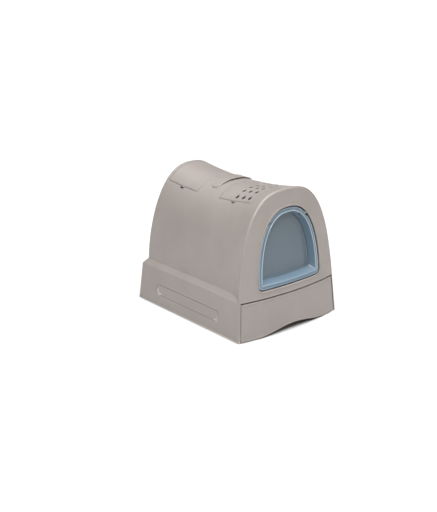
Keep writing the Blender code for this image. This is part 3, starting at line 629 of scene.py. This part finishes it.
def door_bead():
    """Raised rounded bead round the door opening."""
    width, height = 0.0058, 0.0019
    rings = [door_ring(-width, 0.0015)]
    for k in range(11):
        angle = math.pi * k / 10
        inset = -width / 2 * (1 + math.cos(angle))
        rings.append(door_ring(inset, 0.0004 - height * math.sin(angle) ** 0.7))
    rings.append(door_ring(0.0, 0.0028))
    rings.append(door_ring(-width / 2, 0.0026))
    return loft("door_bead", rings, closed=True)


def skirt_bead():
    """Small rounded bead round the foot of the sides and the back."""
    radius, corner = 0.0016, RIM_SKIRT
    half, back = WIDTH / 2, DEPTH / 2
    front = front_y(half, 0) + 0.003
    path = [(-half, front, -1, 0)]
    for k in range(9):
        angle = math.pi - math.pi / 2 * k / 8
        path.append((-half + corner, back - corner, math.cos(angle), math.sin(angle)))
    for k in range(9):
        angle = math.pi / 2 - math.pi / 2 * k / 8
        path.append((half - corner, back - corner, math.cos(angle), math.sin(angle)))
    path.append((half, front, 1, 0))
    rings = []
    for index, (x, y, out_x, out_y) in enumerate(path):
        arm = 0 if index in (0, len(path) - 1) else corner
        ring = []
        for k in range(12):
            angle = 2 * math.pi * (k + 0.5) / 12
            out = arm - 0.0002 + radius * 0.9 * math.cos(angle)
            ring.append((x + out_x * out, y + out_y * out, 0.0019 + 0.0018 * math.sin(angle)))
        rings.append(ring)
    return loft("skirt_bead", rings)


def racetrack_groove(side):
    """Narrow groove that outlines the flat panel on the skirt's side."""
    length, height, mid_z, reach, deep = 0.296, 0.033, 0.0535, 0.0012, 0.0014
    radius = height / 2
    steps = 64
    rings = []
    for k in range(steps):
        angle = 2 * math.pi * (k + 0.5) / steps
        ring = []
        for j in range(8):
            turn = 2 * math.pi * j / 8
            r = radius + reach * math.cos(turn)
            y = 0.002 + math.copysign(length / 2 - radius, math.cos(angle)) + r * math.cos(angle)
            z = mid_z + r * math.sin(angle)
            x = side * (WIDTH / 2 - DRAFT * z + deep * math.sin(turn))
            ring.append((x, y, z))
        rings.append(ring)
    return loft("groove_right" if side > 0 else "groove_left", rings, closed=True)


def hatch_opening(label, center_y):
    """Cut for a hatch, with its edge rounded."""
    soft = 0.0008
    rings = [hatch_ring(center_y, SLIT + soft, height=0.46)]
    for k in range(4):
        turn = math.pi / 2 * k / 3
        grow = SLIT + soft * (1 - math.sin(turn))
        rings.append(hatch_ring(center_y, grow, depth=soft * (1 - math.cos(turn))))
    rings.append(hatch_ring(center_y, SLIT, height=0.30))
    return loft(label + "_opening", rings)


def hatch_frame(label, center_y):
    """Collar and ledge under a hatch's edge."""
    outline = ((0.0038, 0.0026), (0.0012, 0.0026), (0.0012, 0.0046), (-0.0040, 0.0046),
               (-0.0040, 0.0066), (0.0038, 0.0066))
    rings = []
    for grow, depth in outline:
        rings.append(hatch_ring(center_y, grow, depth=depth, far=0.0078 + max(grow, 0.0)))
    return loft(label + "_frame", rings, closed=True)


def finger_notch(label, center_y):
    z = ridge_z(HATCH_HALF, center_y)
    rings = []
    for level in (z - 0.010, z + 0.010):
        ring = []
        for k in range(40):
            angle = 2 * math.pi * k / 40
            x, y = NOTCH_X * math.cos(angle), NOTCH_Y * math.sin(angle)
            ring.append((-HATCH_HALF + 0.0010 + x, center_y + y, level))
        rings.append(ring)
    return loft(label + "_notch", rings)


def pin_lug(label, center_y, end):
    x, y, z = hinge_point(center_y, end * 0.955)
    lug = rod("%s_lug_%d" % (label, end), (x, y, z), hinge_direction(center_y), 0.0048, 0.0034)
    foot = block(lug.name + "_foot", HINGE_X - 0.0015, HINGE_X + 0.0069, y - 0.0022, y + 0.0022,
                 z - 0.0062, z - 0.0031)
    return shape(lug, ('UNION', foot))


def door_lug(side):
    x = side * 0.0860
    y = front_y(x, DOOR_AXIS_Z) + 0.0015
    plate_name = "door_lug_right" if side > 0 else "door_lug_left"
    return block(plate_name, x - 0.0020, x + 0.0020, y, y + 0.0180, DOOR_AXIS_Z - 0.008,
                 DOOR_AXIS_Z + 0.008)


def pan_boss(x, y):
    side = math.copysign(1, x)
    x0, x1 = sorted((x - side * 0.0045, x + side * 0.0085))
    return block("pan_boss", x0, x1, y - 0.0045, y + 0.0045, PAN_SKIN + 0.0004, 0.018)


def handle_slot(side):
    z = ridge_z(HANDLE_LEG_X, HANDLE_Y)
    x = side * HANDLE_LEG_X
    return block("handle_slot", x - 0.0026, x + 0.0026, HANDLE_Y - 0.0080, HANDLE_Y + 0.0080,
                 z - 0.02, z + 0.02)


def build_hood():
    hood = hood_solid("hood", 0.0)
    cuts = [hood_solid("hood_core", WALL, -0.02, False), drawer_opening(), door_opening()]
    joins = [skirt_bead(), door_bead(), door_lug(-1), door_lug(1)]
    notches = []
    for label, y in (("bag", BAG_HATCH_Y), ("vent", VENT_HATCH_Y)):
        cuts += [hatch_opening(label, y)]
        notches.append(finger_notch(label, y))
        joins += [hatch_frame(label, y), pin_lug(label, y, -1), pin_lug(label, y, 1)]
    for side in (-1, 1):
        cuts += [racetrack_groove(side), handle_slot(side)]
        joins += [pan_boss(side * 0.1895, -0.150), pan_boss(side * 0.1895, 0.150)]
    steps = [('DIFFERENCE', c) for c in cuts] + [('UNION', j) for j in joins]
    shape(hood, *steps, *[('DIFFERENCE', n) for n in notches])
    show(smooth(hood), TAUPE, "hood", "taupe_plastic", "hood_shell")


# ---- Top hatches -----------------------------------------------------------------------
def build_hatch(name, center_y, body, node, vents=False):
    """Lid that follows the hood, with rounded edges, hinge webs and barrels."""
    soft, free_gap = 0.0009, 0.0009
    xs = edge_steps(-HATCH_HALF + free_gap, HATCH_HALF - 0.0035, soft, 44)
    ys = edge_steps(center_y - HATCH_LENGTH / 2, center_y + HATCH_LENGTH / 2, soft, 30)
    front, back = [], []
    for y in ys:
        side = min(y - ys[0], ys[-1] - y)
        top, under = [], []
        for x in xs:
            reach = min(x - xs[0], xs[-1] - x)
            drop = max(edge_drop(reach, soft), edge_drop(side, soft))
            top.append((x, y, ridge_z(x, y) - drop))
            under.append((x, y, ridge_z(x, y, LID_SKIN)))
        front.append(top)
        back.append(under)
    lid = plate(name, front, back)
    steps = []
    for along in (-0.66, 0.66):
        place = hinge_point(center_y, along)
        edge = Vector((0.0900, place.y, ridge_z(0.0900, place.y) - LID_SKIN / 2))
        reach = edge - place
        web = block("web", 0.0, reach.length, -0.0058, 0.0058, -0.0011, 0.0011)
        turn = Vector((1, 0, 0)).rotation_difference(reach).to_matrix().to_4x4()
        web.data.transform(Matrix.Translation(place) @ turn)
        steps.append(('UNION', web))
        steps.append(('UNION', rod("barrel", place, hinge_direction(center_y), 0.012, 0.0033)))
    if vents:
        for row in range(7):
            for column in range(3):
                x, y = VENT_X + row * VENT_PITCH, center_y + (column - 2) * VENT_PITCH
                steps.append(('DIFFERENCE', vent_hole(x, y)))
    shape(lid, *steps)
    show(smooth(lid), TAUPE, body, "taupe_plastic", node)


def vent_hole(x, y, steps=32):
    """Round hole with a softened mouth."""
    radius, soft = VENT_RADIUS, 0.0007
    rings = []
    for grow, depth in ((soft, -0.010), (soft, 0.0), (soft * 0.3, soft * 0.3), (0, soft), (0, 0.02)):
        ring = []
        for k in range(steps):
            angle = 2 * math.pi * k / steps
            px, py = x + (radius + grow) * math.cos(angle), y + (radius + grow) * math.sin(angle)
            ring.append((px, py, ridge_z(px, py) - depth))
        rings.append(ring)
    return loft("vent_hole", rings)


# ---- Carry handle ----------------------------------------------------------------------
def strap_line(x):
    lift = 0.0004 + (HANDLE_ARCH - 0.0004) * max(0.0, 1 - (x / (HANDLE_HALF - 0.012)) ** 2)
    across = (-HANDLE_WIDTH / 2, 0, HANDLE_WIDTH / 2)
    return max(ridge_z(x, HANDLE_Y + dy) for dy in across) + lift


def clip_z():
    return ridge_z(HANDLE_LEG_X, HANDLE_Y) - 0.0110 - HANDLE_TRAVEL


def build_handle():
    """Arched strap with round ends, soft edges and two legs through the hood."""
    soft, columns, rows = 0.0012, 72, 20
    front, back = [], []
    for k in range(columns + 1):
        x = HANDLE_HALF * math.sin(math.pi / 2 * (2 * k / columns - 1))
        short = max(0.0, abs(x) - (HANDLE_HALF - HANDLE_WIDTH / 2)) / (HANDLE_WIDTH / 2)
        half = max(0.0004, HANDLE_WIDTH / 2 * math.sqrt(max(0.0, 1 - short * short)))
        under = strap_line(x)
        top, low = [], []
        for j in range(rows + 1):
            across = half * math.sin(math.pi / 2 * (2 * j / rows - 1))
            middle = math.hypot(max(0.0, abs(x) - (HANDLE_HALF - HANDLE_WIDTH / 2)), across)
            drop = edge_drop(HANDLE_WIDTH / 2 - middle, soft)
            top.append((x, HANDLE_Y + across, under + HANDLE_SKIN - drop))
            low.append((x, HANDLE_Y + across, under))
        front.append(top)
        back.append(low)
    handle = plate("handle_strap", front, back)
    steps = []
    for side in (-1, 1):
        x, y, foot = side * HANDLE_LEG_X, HANDLE_Y, clip_z() - 0.0030
        top = strap_line(x) + 0.0015
        steps.append(('UNION', block("leg", x - 0.0015, x + 0.0015, y - 0.0070, y + 0.0070, foot, top)))
        steps.append(('UNION', block("barb", x - 0.0030, x + 0.0030, y - 0.0065, y + 0.0065,
                                     foot - 0.003, foot + 0.001)))
    shape(handle, *steps)
    show(smooth(handle), TAUPE, "handle", "taupe_plastic", "carry_handle")


# ---- Swing door ------------------------------------------------------------------------
def build_flap():
    """Dished flap: rounded rim, raised inner lip, sloping sides and a flat middle."""
    edge, lip = DOOR_GAP + 0.0007, DOOR_GAP + DOOR_RIM
    deep = DOOR_SUNK + DOOR_DISH
    rings = []
    for k in range(5):
        turn = math.pi / 2 * k / 4
        soft = 0.0010
        rings.append((edge + soft * (1 - math.cos(turn)), DOOR_SUNK + soft * (1 - math.sin(turn)), 0))
    for k in range(1, 6):
        share = smoothstep(k / 5)
        rings.append((edge + 0.0010 + 0.0045 * k / 5, DOOR_SUNK + CHANNEL * share, 0))
    for k in range(11):
        turn = math.pi * k / 10
        inset = lip - BEAD / 2 * (1 + math.cos(turn))
        height = (CHANNEL + 0.0011) * math.sin(turn) ** 0.8
        rings.append((inset, DOOR_SUNK + CHANNEL - height, 0))
    bend = 0.0045
    for k in range(13):
        share = k / 12
        wall = blend_value(DOOR_SUNK + CHANNEL + 0.0002, deep - bend, share)
        rings.append((lip + 0.0004 + DOOR_SLOPE * 0.80 * share, wall, share * 0.8))
    for k in range(1, 7):
        turn = math.pi / 2 * k / 6
        inset = lip + DOOR_SLOPE * 0.80 + 0.0004 + bend * (1 - math.cos(turn))
        rings.append((inset, deep - bend + bend * math.sin(turn), 0.8 + 0.2 * k / 6))
    front = [door_ring(*ring) for ring in rings]
    back = [door_ring(inset - DOOR_SKIN * 0.7, sunk + DOOR_SKIN * 0.9, flat)
            for inset, sunk, flat in rings[:21:-1]]
    rear = DOOR_SUNK + DOOR_SKIN + CHANNEL
    back += [door_ring(lip - 0.0030, rear), door_ring(edge + 0.004, rear), door_ring(edge, rear - 0.001)]
    flap = loft("flap", back + front)
    steps = []
    for side in (-1, 1):
        x0, x1 = sorted((side * 0.0590, side * 0.0650))
        y = front_y(side * 0.062, DOOR_AXIS_Z)
        steps.append(('UNION', block("ear", x0, x1, y + DOOR_SUNK + 0.001, y + 0.0150,
                                     DOOR_AXIS_Z - 0.0065, DOOR_AXIS_Z + 0.0065)))
        scallop = rod("scallop", (side * SCALLOP_X, y, SCALLOP_Z), (0, 1, 0), 0.05, DOOR_SCALLOP, 48)
        steps.append(('DIFFERENCE', scallop))
    steps.append(('DIFFERENCE', rod("ear_bore", door_axis(), (1, 0, 0), 0.20, 0.0028)))
    shape(flap, *steps)
    show(smooth(flap, 40), BLUE, "door", "blue_translucent_plastic", "door_flap")


# ---- Drawer ----------------------------------------------------------------------------
def grip_line(x):
    if abs(x) >= GRIP_HALF:
        return 0.0010
    return 0.0010 + GRIP_RISE * math.cos(math.pi * x / (2 * GRIP_HALF)) ** 2


def build_drawer_front():
    """Bowed panel with rounded edges, arched for the hand below, and its flange."""
    soft, border, proud = 0.0012, 0.0050, 0.0010
    rows = rim_steps(0.0, 1.0, border / 0.10, 20)
    columns = rim_steps(-1.0, 1.0, border / 0.19, 80)
    front, back = [], []
    for t in rows:
        face, rear = [], []
        for s in columns:
            z = blend_value(grip_line(s * 0.19), PANEL_TOP - 0.0008, t)
            half = WIDTH / 2 - DRAFT * z - WALL - SIDE_NIB - PANEL_SIDE_GAP - 0.0012
            up, side = min(t, 1 - t) * 0.10, (1 - abs(s)) * 0.19
            short = math.hypot(max(0.0, soft - up), max(0.0, soft - side))
            drop = soft - math.sqrt(max(0.0, soft * soft - short * short))
            drop += proud * (1 - math.sin(math.pi * min(1.0, min(up, side) / border)) ** 2)
            x = s * half
            face.append((x, front_y(x, z) + drop, z))
            rear.append((x, front_y(x, z) + PANEL_SKIN, z))
        front.append(face)
        back.append(rear)
    panel = plate("drawer_panel", front, back)
    flange = []
    half = DRAWER_HALF - 0.012
    for k in range(41):
        x = half * (2 * k / 40 - 1)
        face = front_y(x, PANEL_TOP) + PANEL_SKIN - 0.0005
        low, top = PANEL_TOP - 0.0105, PANEL_TOP - 0.0002
        back = DRAWER_FRONT + 0.0075
        flange.append([(x, face, low), (x, DRAWER_FRONT - 0.0015, top - 0.0023), (x, back, top - 0.0023),
                       (x, back, top), (x, DRAWER_FRONT - 0.0020, top), (x, face, low + 0.0023)])
    shape(panel, ('UNION', loft("flange", flange)))
    show(smooth(panel), TAUPE, "drawer", "taupe_plastic", "drawer_front")


def rounded_loop(x0, x1, y0, y1, radius, z, steps=12):
    ring = []
    for cx, cy, start in ((x1, y0, -90), (x1, y1, 0), (x0, y1, 90), (x0, y0, 180)):
        ox = cx - math.copysign(radius, cx - (x0 + x1) / 2)
        oy = cy - math.copysign(radius, cy - (y0 + y1) / 2)
        for k in range(steps + 1):
            angle = math.radians(start + 90 * k / steps)
            ring.append((ox + radius * math.cos(angle), oy + radius * math.sin(angle), z))
    return ring


def build_tray():
    """Deep tray with a rolled rim and a rounded floor."""
    y0, y1, half = DRAWER_FRONT, DRAWER_REAR, DRAWER_HALF
    slope, skin, rim, soft = 0.006, 0.0025, 0.008, 0.007
    outline = []
    for k in range(6):
        turn = math.pi / 2 * k / 5
        grow = slope + rim + soft * (1 - math.sin(turn))
        outline.append((grow, DRAWER_FLOOR + soft * (1 - math.cos(turn)), 0.020))
    outline += [(rim, DRAWER_TOP - 0.0045, 0.026), (0.0008, DRAWER_TOP - 0.0040, 0.0295)]
    for k in range(5):
        turn = math.pi * k / 4
        outline.append((0.0012 - 0.0012 * math.sin(turn),
                        DRAWER_TOP - 0.0018 - 0.0018 * math.cos(turn), 0.030))
    outline += [(rim + skin - 0.0010, DRAWER_TOP, 0.0245), (rim + skin, DRAWER_TOP - 0.0010, 0.0235)]
    for k in range(6):
        turn = math.pi / 2 * k / 5
        grow = slope + rim + skin + (soft - skin) * (1 - math.cos(turn))
        outline.append((grow, DRAWER_FLOOR + soft - (soft - skin) * math.sin(turn), 0.0175))
    rings = [rounded_loop(-half + grow, half - grow, y0 + grow, y1 - grow, radius, z)
             for grow, z, radius in outline]
    tray = loft("tray", rings)
    show(smooth(tray), GREY, "drawer", "grey_plastic", "litter_tray")


# ---- Filter pad ------------------------------------------------------------------------
def build_filter_pad():
    """Thick foam pad that crowns a little between its edges."""
    inset, top, low = 0.0088, 0.0036, 0.0118
    soft = 0.0030
    xs = edge_steps(-HATCH_HALF + inset, HATCH_HALF - 0.0130, soft, 40)
    y0, y1 = VENT_HATCH_Y - HATCH_LENGTH / 2 + inset, VENT_HATCH_Y + HATCH_LENGTH / 2 - inset
    ys = edge_steps(y0, y1, soft, 30)
    front, back = [], []
    for y in ys:
        over, under = [], []
        for x in xs:
            edge = min(x - xs[0], xs[-1] - x, y - ys[0], ys[-1] - y)
            drop = edge_drop(edge, soft)
            crown = 0.0005 * smoothstep(edge / 0.03)
            over.append((x, y, ridge_z(x, y, top) - drop + crown))
            under.append((x, y, ridge_z(x, y, low) + min(drop, 0.0026)))
        front.append(over)
        back.append(under)
    pad = plate("foam_pad", front, back)
    show(smooth(pad, 50), FOAM, "hood", "carbon_foam", "filter_pad")


# ---- Bag roll --------------------------------------------------------------------------
def build_bag_roll():
    """Film wound on its card core, with a loose end and slightly uneven layers."""
    low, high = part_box("bag_roll")
    middle = (low + high) / 2
    length, outer = high.x - low.x, (high.z - low.z) / 2
    inner = 0.0089
    rings = []
    lanes = [(-0.5, inner), (-0.5, outer * 0.80), (-0.5, outer - 0.0006), (-0.494, outer - 0.0001)]
    lanes += [(-0.46 + 0.92 * k / 24, outer) for k in range(25)]
    lanes += [(0.494, outer - 0.0001), (0.5, outer - 0.0006), (0.5, outer * 0.80), (0.5, inner)]
    for place, radius in lanes:
        ring = []
        for k in range(72):
            angle = 2 * math.pi * k / 72
            step = 0.0005 * (1 - k / 72) if radius > inner else 0.0
            wave = 0.00018 * math.sin(9 * angle + 60 * place) * (radius > outer * 0.9)
            r = radius - step - abs(wave)
            ring.append((middle.x + place * length, middle.y + r * math.cos(angle),
                         middle.z + r * math.sin(angle)))
        rings.append(ring)
    roll = loft("bag_film_roll", rings, closed=True)
    show(smooth(roll, 40), FILM, "hood", "bag_film", "bag_roll")


# ---- CAD nodes that stay ---------------------------------------------------------------
def dress(node, mat, bevel=0.0004, angle=35.0):
    """Give a CAD node its material, soft edges and smooth round faces."""
    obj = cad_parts[node]
    obj.data.materials.clear()
    obj.data.materials.append(mat)
    if "custom_normal" in obj.data.attributes:
        obj.data.attributes.remove(obj.data.attributes["custom_normal"])
    obj.data.shade_smooth()
    weld = obj.modifiers.new("weld", 'WELD')
    weld.merge_threshold = 0.00001
    soft = obj.modifiers.new("soft_edges", 'BEVEL')
    soft.width, soft.segments = bevel, 2
    soft.limit_method, soft.angle_limit = 'ANGLE', math.radians(angle)
    soft.harden_normals = True


def dress_fittings():
    for node in ("floor_pan", "bag_compartment", "scoop", "filter_cage"):
        dress(node, GREY)
    for node in ("handle_clip_left", "handle_clip_right", "door_pin_left", "door_pin_right",
                 "panel_peg_1", "panel_peg_2"):
        dress(node, NYLON, 0.0003)
    for node in ("bag_hatch_pin", "vent_hatch_pin", "pan_screw_1", "pan_screw_2", "pan_screw_3",
                 "pan_screw_4"):
        dress(node, STEEL, 0.0002)
    dress("bag_roll_core", CARD, 0.0002)


# ---- Studio ----------------------------------------------------------------------------
DOME_AXIS = (-0.05, -0.09, 0.98)
KEY_POWER, KEY_COLOR = 11.5, (1.0, 0.985, 0.955)
FILL_POWER, FILL_COLOR = 0.7, (1.0, 0.66, 0.16)
DOME_BASE, DOME_PEAK, DOME_FOCUS = 0.12, 7.4, 6.0


def build_floor():
    size = 40.0
    floor = mesh_object("floor", [(-size, -size, -0.0006), (size, -size, -0.0006),
                                  (size, size, -0.0006), (-size, size, -0.0006)], [(0, 1, 2, 3)])
    paper = Nodes("floor_paper", (0.60, 0.60, 0.60), 0.9)
    paper.tint(paper.spread(paper.noise(2.0), 0.48, 0.52))
    floor.data.materials.append(paper.material)


def area_light(name, place, target, size, power, color):
    data = bpy.data.lights.new(name, 'AREA')
    data.shape, data.size, data.size_y = 'RECTANGLE', size[0], size[1]
    data.energy, data.color = power, color
    light = bpy.data.objects.new(name, data)
    bpy.context.scene.collection.objects.link(light)
    light.location = place
    aim = Vector(target) - Vector(place)
    light.rotation_euler = aim.to_track_quat('-Z', 'Y').to_euler()


def build_lights():
    """A bright dome that is strongest overhead, a soft box by the camera and a warm fill."""
    world = bpy.data.worlds.new("studio")
    bpy.context.scene.world = world
    world.use_nodes = True
    nodes, links = world.node_tree.nodes, world.node_tree.links
    back = nodes["Background"]
    back.inputs["Color"].default_value = (1.0, 1.0, 1.0, 1.0)
    place = nodes.new("ShaderNodeTexCoord")
    facing = nodes.new("ShaderNodeVectorMath")
    facing.operation = 'DOT_PRODUCT'
    facing.inputs[1].default_value = Vector(DOME_AXIS).normalized()
    links.new(place.outputs["Generated"], facing.inputs[0])
    value = facing.outputs["Value"]
    for operation, amount in (('MAXIMUM', 0.0), ('POWER', DOME_FOCUS), ('MULTIPLY', DOME_PEAK),
                              ('ADD', DOME_BASE)):
        step = nodes.new("ShaderNodeMath")
        step.operation = operation
        links.new(value, step.inputs[0])
        step.inputs[1].default_value = amount
        value = step.outputs["Value"]
    links.new(value, back.inputs["Strength"])
    area_light("key", (-0.85, -1.10, 1.35), (0, -0.1, 0.3), (0.30, 0.30), KEY_POWER, KEY_COLOR)
    area_light("warm_fill", (-0.3, -2.6, 1.2), (0, 0, 0.2), (1.0, 1.0), FILL_POWER, FILL_COLOR)


def build_camera():
    azimuth, elevation, distance = math.radians(-40.40), math.radians(19.33), 2.8308
    target = Vector((-0.0708, 0.0, 0.1731))
    back = Vector((math.sin(azimuth) * math.cos(elevation), -math.cos(azimuth) * math.cos(elevation),
                   math.sin(elevation)))
    data = bpy.data.cameras.new("camera")
    data.sensor_width, data.lens = 36.0, 65.14
    data.clip_start, data.clip_end = 0.05, 200.0
    camera = bpy.data.objects.new("camera", data)
    bpy.context.scene.collection.objects.link(camera)
    camera.location = target + back * distance
    camera.rotation_euler = (-back).to_track_quat('-Z', 'Y').to_euler()
    bpy.context.scene.camera = camera


build_camera()
build_lights()
build_floor()
build_hood()
build_hatch("rear_lid", BAG_HATCH_Y, "bag_lid", "bag_hatch")
build_hatch("vent_lid", VENT_HATCH_Y, "vent_lid", "vent_hatch", vents=True)
build_handle()
build_flap()
build_drawer_front()
build_tray()
build_filter_pad()
build_bag_roll()
dress_fittings()
bpy.context.scene.view_settings.view_transform = 'Standard'
